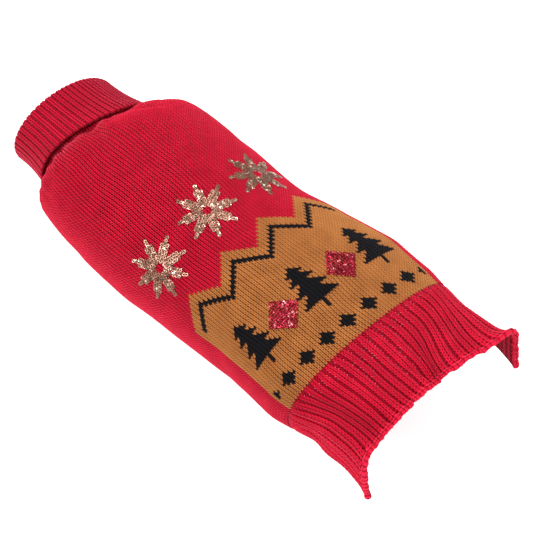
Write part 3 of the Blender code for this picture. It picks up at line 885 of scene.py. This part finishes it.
def collar_ellipse(size, along, angles):
    """Points of a ring of the collar, and their directions outward."""
    across, up = np.sin(angles), np.cos(angles)
    ring = np.stack((along, size["half_width"] * across,
                     size["height"] + size["half_height"] * up), axis=-1)
    outward = np.stack((0.0 * angles, across / size["half_width"], up / size["half_height"]), axis=-1)
    return ring, unit(outward)


def collar_path(angles):
    """The collar's section: turned-down layer, fold at the rim, inner layer, and back."""
    turn = neck_turn(np.degrees(angles))
    fold = RIB_WALL + LAYER_GAP / 2
    neck = {"half_width": body_size("half_width", NECK_SEAM),
            "half_height": body_size("top", NECK_SEAM) - body_size("middle", NECK_SEAM),
            "height": body_size("middle", NECK_SEAM)}
    rim_along = COLLAR_RIM["along"] + RIM_SKEW * np.sin(angles) + fold
    rim, rim_out = collar_ellipse(COLLAR_RIM, rim_along, angles)
    edge, edge_out = collar_ellipse(COLLAR_EDGE, COLLAR_EDGE["along"] + turn, angles)
    seam, seam_out = collar_ellipse(neck, NECK_SEAM - SEAM_GAP + turn, angles)
    ahead = np.array((1.0, 0.0, 0.0))
    points, outward = [], []

    def layer(start, start_out, end, end_out, inset, swell, steps, facing):
        for t in steps:
            out = (1.0 - t) * start_out + t * end_out
            shift = swell * math.sin(math.pi * t) - ((1.0 - t) * inset[0] + t * inset[1])
            points.append((1.0 - t) * start + t * end + shift * out)
            outward.append(facing * out)

    lip = edge - (RIB_WALL / 2) * edge_out
    add_bend(points, outward, lip, RIB_WALL / 2, edge_out, ahead, np.radians(LIP_ANGLES))
    layer(edge, edge_out, rim, rim_out, (0.0, 0.0), -COLLAR_WAIST,
          np.linspace(0.0, 1.0, COLLAR_OUTSIDE_ROWS), 1.0)
    add_bend(points, outward, rim - fold * rim_out, fold, rim_out, -ahead,
             np.linspace(0.0, math.pi, COLLAR_FOLD_ROWS + 2)[1:-1])
    layer(rim, rim_out, seam, seam_out, (2.0 * fold, RIB_WALL), 0.0,
          np.linspace(0.0, 1.0, COLLAR_INSIDE_ROWS), -1.0)
    layer(seam, seam_out, rim, rim_out, (0.0, RIB_WALL + LAYER_GAP), 0.0, LINING_PLACES, 1.0)
    points.append(rim - fold * rim_out - 0.5 * LAYER_GAP * ahead)
    outward.append(rim_out)
    layer(rim, rim_out, edge, edge_out, (RIB_WALL, RIB_WALL), -COLLAR_WAIST, BACKING_PLACES, -1.0)
    points.append(lip + (RIB_WALL / 2) * (ahead * 0.7 - edge_out * 0.7))
    outward.append(-edge_out)
    return np.array(points), np.array(outward)


def leg_path(side):
    """The section of a leg band: up its outside, over its rim and down its inside."""
    rim = LEG_BAND_WIDTH - LEG_RIM_ROOM

    def path(angles):
        out = leg_out(side)
        inner, outer = (leg_ring(side, grow, len(angles)) for grow in (0.0, RIB_WALL))
        across = unit(outer - inner)
        heights = np.linspace(-PLAIN_WALL, rim, LEG_SIDE_ROWS)
        points = [outer + height * out for height in heights]
        outward = [across] * LEG_SIDE_ROWS
        add_bend(points, outward, (inner + outer) / 2 + rim * out, RIB_WALL / 2, across, out,
                 np.radians(LEG_RIM_ANGLES))
        points += [inner + height * out for height in np.linspace(rim, -PLAIN_WALL, LEG_SIDE_ROWS)]
        outward += [-across] * LEG_SIDE_ROWS
        return np.array(points), np.array(outward)
    return path


def edge_chain(name, course, wales, around_of, material, radius):
    """Row of bind-off stitches that rolls over a hem's edge, closed at its ends."""
    along = NECK_SEAM + COURSE * course
    columns = np.arange(wales * CHAIN_PER_WALE + 1)
    wale = columns / CHAIN_PER_WALE
    points, outward, lengthwise = cloth_frame(along, around_of(along, wale))
    gutter = np.maximum(0.0, np.cos(TURN * (wale - RIB_WALES + 0.5) / RIB_WALES)) ** 2
    stray = add_waves(0.0, wale, CHAIN_STRAY_WAVES)
    sunk = (CHAIN_SINK + CHAIN_GUTTER_SINK * gutter)[:, None]
    ahead = (CHAIN_AHEAD + CHAIN_STRAY * radius * stray)[:, None]
    centre = points - sunk * outward + ahead * lengthwise
    turns = TURN * np.arange(CHAIN_SIDES) / CHAIN_SIDES
    end = np.minimum(columns, columns[::-1]) / CHAIN_PER_WALE
    taper = np.sqrt(np.clip(end / CHAIN_TAPER, CHAIN_TIP, 1.0))
    uneven = add_waves(1.0 - CHAIN_GUTTER_THIN * gutter, columns, CHAIN_WIDTH_WAVES)
    rings = []
    for turn_angle in turns:
        swell = 1.0 + CHAIN_SWELL * np.cos(TURN * (wale + CHAIN_TWIST * math.sin(turn_angle)))
        reach = (radius * taper * swell * uneven)[:, None]
        rings.append(centre + reach * (math.cos(turn_angle) * outward + math.sin(turn_angle) * lengthwise))
    rings = np.array(rings)
    index = numbered(rings.shape, ring_down=True)
    faces = grid_faces(index).tolist()
    faces += [index[:-1, 0].tolist(), index[:-1, -1][::-1].tolist()]
    uv = np.stack(np.meshgrid(wale, turns / TURN * CHAIN_TURNS), -1).reshape(-1, 2)
    return make_piece(name, rings.reshape(-1, 3), faces, uv, (material,))


# ---------------------------------------------------------------- sequins
def sequin_cloud(name, places, material, seed):
    """One mesh of cup sequins at (along, around) places on the back; some hang loose."""
    chance = np.random.default_rng(seed)
    turns = (TURN * np.arange(SEQUIN_SIDES) / SEQUIN_SIDES)[:, None]
    index = numbered((len(SEQUIN_RINGS), SEQUIN_SIDES), ring_across=True)
    vertices, faces = [], []
    for along, around in places:
        frames = cloth_frame(along, np.array([around]), SEQUIN_LIFT)
        point, outward, lengthwise = (item[0] for item in frames)
        loose = chance.random() < LOOSE_SHARE
        tilt = chance.normal(0.0, LOOSE_SPREAD if loose else SEWN_SPREAD, 2)
        tilt = tilt + (LOOSE_LEAN if loose else SEWN_LEAN)
        crosswise = np.cross(outward, lengthwise)
        axis = outward + tilt[0] * lengthwise + tilt[1] * crosswise
        axis /= np.linalg.norm(axis)
        first = np.cross(axis, crosswise)
        first /= np.linalg.norm(first)
        second = np.cross(axis, first)
        faces += grid_faces(len(vertices) * SEQUIN_SIDES + index).tolist()
        for radius, height in SEQUIN_RINGS:
            ring = np.cos(turns) * first + np.sin(turns) * second
            vertices.append(point + height * axis + radius * ring)
    return make_piece(name, np.concatenate(vertices), faces, None, (material,))


def wale_around(side):
    """Where a wale of the design lies, as counted from the design's middle."""
    return (DESIGN_MIDDLE + side) * 2.0 * BODY["back_half"].max() / BACK_WALES


def star_places():
    """Stars above the field: each point is a narrow rhomb, sewn in rows along it."""
    places = []
    for middle in STAR_PLACES:
        centre = wale_around(middle)
        for point in range(STAR_POINTS):
            heading = TURN * (point + 0.5) / STAR_POINTS
            for row in range(-STAR_ROWS, STAR_ROWS + 1):
                side = row * STAR_STEP
                slack = STAR_REACH / 2 * (1.0 - abs(side) / STAR_HALF_WIDTH)
                count = int(2.0 * slack / STAR_STEP)
                for i in range(count + 1):
                    down = STAR_REACH / 2 + (i - count / 2) * STAR_STEP
                    if down > STAR_OPEN * STAR_STEP:
                        places.append((STAR_ALONG + down * math.cos(heading) - side * math.sin(heading),
                                       centre + down * math.sin(heading) + side * math.cos(heading)))
    return places


def diamond_places():
    """Red diamonds between the firs, filled row by row."""
    places = []
    along = RIB_START - COURSE * DIAMOND_COURSE
    for middle in DIAMOND_PLACES:
        centre = wale_around(middle)
        for i in range(-DIAMOND_STEPS, DIAMOND_STEPS + 1):
            for j in range(-DIAMOND_STEPS, DIAMOND_STEPS + 1):
                if abs(i) + abs(j) <= DIAMOND_STEPS:
                    places.append((along + DIAMOND_STEP * i, centre + DIAMOND_STEP * j))
    return places


def glitter(name, material, seed):
    """Glints of the metal thread beside the rib's gutters: tiny beads in the stitches' holes."""
    chance = np.random.default_rng(seed)
    corners = np.array(((1, 0, 0), (-1, 0, 0), (0, 1, 0), (0, -1, 0), (0, 0, 1), (0, 0, -1)), float)
    sides = np.array(((0, 2, 4), (2, 1, 4), (1, 3, 4), (3, 0, 4), (2, 0, 5), (1, 2, 5), (3, 1, 5), (0, 3, 5)))
    vertices, faces = [], []
    for rib in range(GLINT_BARE_RIBS, HEM_WALES // RIB_WALES - GLINT_BARE_RIBS):
        near_middle = math.exp(-((rib - GLINT_RIB) / GLINT_RIBS_AROUND) ** 2)
        for side in GLINT_SIDES:
            last = int(HEM_COURSES * chance.uniform(*GLINT_REACH) * near_middle)
            for course in range(1, last):
                if chance.random() > GLINT_CHANCE - GLINT_CHANCE_FALL * course / HEM_COURSES:
                    continue
                along = NECK_SEAM + COURSE * (PLAIN_COURSES + course)
                around = back_rib_around(along, np.array([RIB_WALES * rib + side]))
                point = cloth_frame(along, around, chance.uniform(*GLINT_LIFT))[0]
                faces += (sides + len(corners) * len(vertices)).tolist()
                vertices.append(point + chance.uniform(*GLINT_SIZE) * corners)
    return make_piece(name, np.concatenate(vertices), faces, None, (material,), smooth=False)


# ------------------------------------------------------------------ build
YARNS = {name: yarn_material(name, colours, sheen, kind) for name, colours, sheen, kind in (
    ("red_knit", RED, RED_SHEEN, "knit"),
    ("red_rib", RED, RED_SHEEN, "rib"),
    ("red_collar_shaded", SHADED_RED, RED_SHEEN, "collar"),
    ("red_purl", SHADED_RED, RED_SHEEN, "purl"),
    ("red_gutter_shade", GUTTER_SHADE_RED, RED_SHEEN, "purl"),
    ("ochre_knit", OCHRE, OCHRE_SHEEN, "inlay"),
    ("ochre_purl", OCHRE, OCHRE_SHEEN, "purl"),
    ("black_knit", BLACK, BLACK_SHEEN, "knit"),
    ("black_purl", BLACK, BLACK_SHEEN, "purl"),
    ("red_chain_lit", LIT_CHAIN_RED, RED_SHEEN, "chain"))}
# The yarns of a piece's outside, and then those of its inside
DESIGN_YARNS = [YARNS[name] for name in ("red_knit", "ochre_knit", "black_knit",
                                         "red_purl", "ochre_purl", "black_purl")]
RED_YARNS = (YARNS["red_knit"], YARNS["red_purl"])
# The second yarn of the ribs and the collar is the darker gutter red, painted shade in the gutters
RIB_YARNS = (YARNS["red_rib"], YARNS["red_gutter_shade"])
COLLAR_YARNS = (YARNS["red_collar_shaded"], YARNS["red_gutter_shade"])
rose_gold = sequin_material("rose_gold_sequin", ROSE_GOLD, 0.55)
red_sequin = sequin_material("red_sequin", RED_FOIL, 0.85)


def plain_shell(name, wales, around_of, colour_of, materials, keep=None):
    return shell(name, FIRST_COURSE, PLAIN_COURSES - FIRST_COURSE, wales, around_of,
                 PLAIN_WALL, colour_of, materials, keep=keep)


def rib_shell(name, courses, wales, around_of):
    return shell(name, PLAIN_COURSES - RIB_TUCK, courses + RIB_TUCK, wales, around_of,
                 RIB_WALL, plain_colour, RIB_YARNS, ribbed=True)


def hem_edge(name, courses, wales, around_of, radius):
    return edge_chain(name, PLAIN_COURSES + courses - CHAIN_BACK, wales, around_of,
                      YARNS["red_chain_lit"], radius)


back = plain_shell("back", BACK_WALES, back_around, design_colour, DESIGN_YARNS)
back_rib = rib_shell("back_rib", HEM_COURSES, HEM_WALES, back_rib_around)
belly = plain_shell("belly", BELLY_WALES, belly_around, plain_colour, RED_YARNS, outside_legs)
belly_rib = rib_shell("belly_rib", BELLY_RIB_COURSES, BELLY_WALES, belly_around)
collar_rows = COLLAR_OUTSIDE_ROWS + COLLAR_FOLD_ROWS + COLLAR_INSIDE_ROWS + 2
collar = ring_piece("roll_collar", collar_path, COLLAR_RIBS, COLLAR_YARNS, collar_rows)
leg_rows = 2 * LEG_SIDE_ROWS + len(LEG_RIM_ANGLES)
legs = [ring_piece(name, leg_path(side), LEG_RIBS, RIB_YARNS, leg_rows)
        for name, side in (("leg_rib_left", -1.0), ("leg_rib_right", 1.0))]
hem_chain = hem_edge("hem_chain", HEM_COURSES, HEM_WALES, back_rib_around, CHAIN_RADIUS)
belly_chain = hem_edge("belly_chain", BELLY_RIB_COURSES, BELLY_WALES, belly_around, BELLY_CHAIN_RADIUS)
stars = sequin_cloud("sequin_snowflakes", star_places(), rose_gold, STAR_SEED)
diamonds = sequin_cloud("sequin_diamonds", diamond_places(), red_sequin, DIAMOND_SEED)
glints = glitter("rib_glints", glint_material(), GLINT_SEED)

for piece, node, slot in (
        (back, "back_panel", "plain_knit"), (back_rib, "back_hem_rib", "rib_knit"),
        (belly, "belly_panel", "plain_knit"), (belly_rib, "belly_hem_rib", "rib_knit"),
        (collar, "collar", "rib_knit"), (legs[0], "leg_band_left", "rib_knit"),
        (legs[1], "leg_band_right", "rib_knit"), (hem_chain, "back_hem_rib", "rib_knit"),
        (belly_chain, "belly_hem_rib", "rib_knit"), (glints, "back_hem_rib", "rib_knit"),
        (stars, "back_panel", "sequins"), (diamonds, "back_panel", "sequins")):
    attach(piece, "root")
    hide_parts(node)


# ------------------------------------------------------- stage and camera
LIGHTS = by_row(("name", "place", "size", "power"), (
    ("key", (-0.5, -1.6, 1.5), 0.8, 34.0),
    ("top", (-0.8, 0.6, 1.8), 0.8, 28.0),
    ("rim", (1.3, 1.2, 1.0), 1.2, 10.0),
))
LIGHT_TARGET = Vector((0.03, 0.0, -0.05))
WORLD_STRENGTH, FLOOR_GLOW, FLOOR_REACH = 0.62, 0.60, 6.0


def area_light(name, place, size, power):
    light = bpy.data.lights.new(name, "AREA")
    light.shape, light.size, light.energy = "DISK", size, power
    lamp = add_object(name, light)
    lamp.location = place
    lamp.rotation_euler = (LIGHT_TARGET - Vector(place)).to_track_quat("-Z", "Y").to_euler()


def make_floor(height):
    """Pale floor, which glows a little, as a lit white sweep does."""
    mesh = bpy.data.meshes.new("floor")
    corners = [(x * FLOOR_REACH, y * FLOOR_REACH, height)
               for x, y in ((-1, -1), (1, -1), (1, 1), (-1, 1))]
    mesh.from_pydata(corners, [], [(0, 1, 2, 3)])
    nodes = Nodes("pale_floor")
    grey = nodes.ramp(nodes.noise(3.0), tuple(zip((0.0, 1.0), FLOOR_GREYS)))
    material = nodes.surface({"Base Color": grey, "Roughness": 0.9,
                              "Emission Color": (*WHITE, 1.0), "Emission Strength": FLOOR_GLOW})
    mesh.materials.append(material)
    floor = add_object("floor", mesh)


def make_world():
    world = bpy.data.worlds.new("studio")
    world.use_nodes = True
    world.node_tree.nodes["Background"].inputs["Color"].default_value = (*WHITE, 1.0)
    world.node_tree.nodes["Background"].inputs["Strength"].default_value = WORLD_STRENGTH
    bpy.context.scene.world = world


CAMERA_AZIMUTH, CAMERA_ELEVATION = math.radians(43.0), math.radians(58.0)
CAMERA_DISTANCE, CAMERA_LENS, CAMERA_SENSOR = 1.833, 146.67, 36.0
CAMERA_TARGET = Vector((198.63, 12.75, 0.0)) * MM - Vector(HELD_POINT) * MM


def make_camera():
    camera = bpy.data.cameras.new("camera")
    camera.lens, camera.sensor_width = CAMERA_LENS, CAMERA_SENSOR
    camera.clip_start, camera.clip_end = 0.05, 50.0
    back_way = Vector((math.sin(CAMERA_AZIMUTH) * math.cos(CAMERA_ELEVATION),
                       -math.cos(CAMERA_AZIMUTH) * math.cos(CAMERA_ELEVATION),
                       math.sin(CAMERA_ELEVATION)))
    stand = add_object("camera", camera)
    stand.location = CAMERA_TARGET + CAMERA_DISTANCE * back_way
    stand.rotation_euler = (-back_way).to_track_quat("-Z", "Y").to_euler()
    bpy.context.scene.camera = stand


make_floor(float(CAD_BOX[0][2]))
make_world()
for light in LIGHTS:
    area_light(**light)
make_camera()
bpy.context.scene.view_settings.view_transform = "Standard"
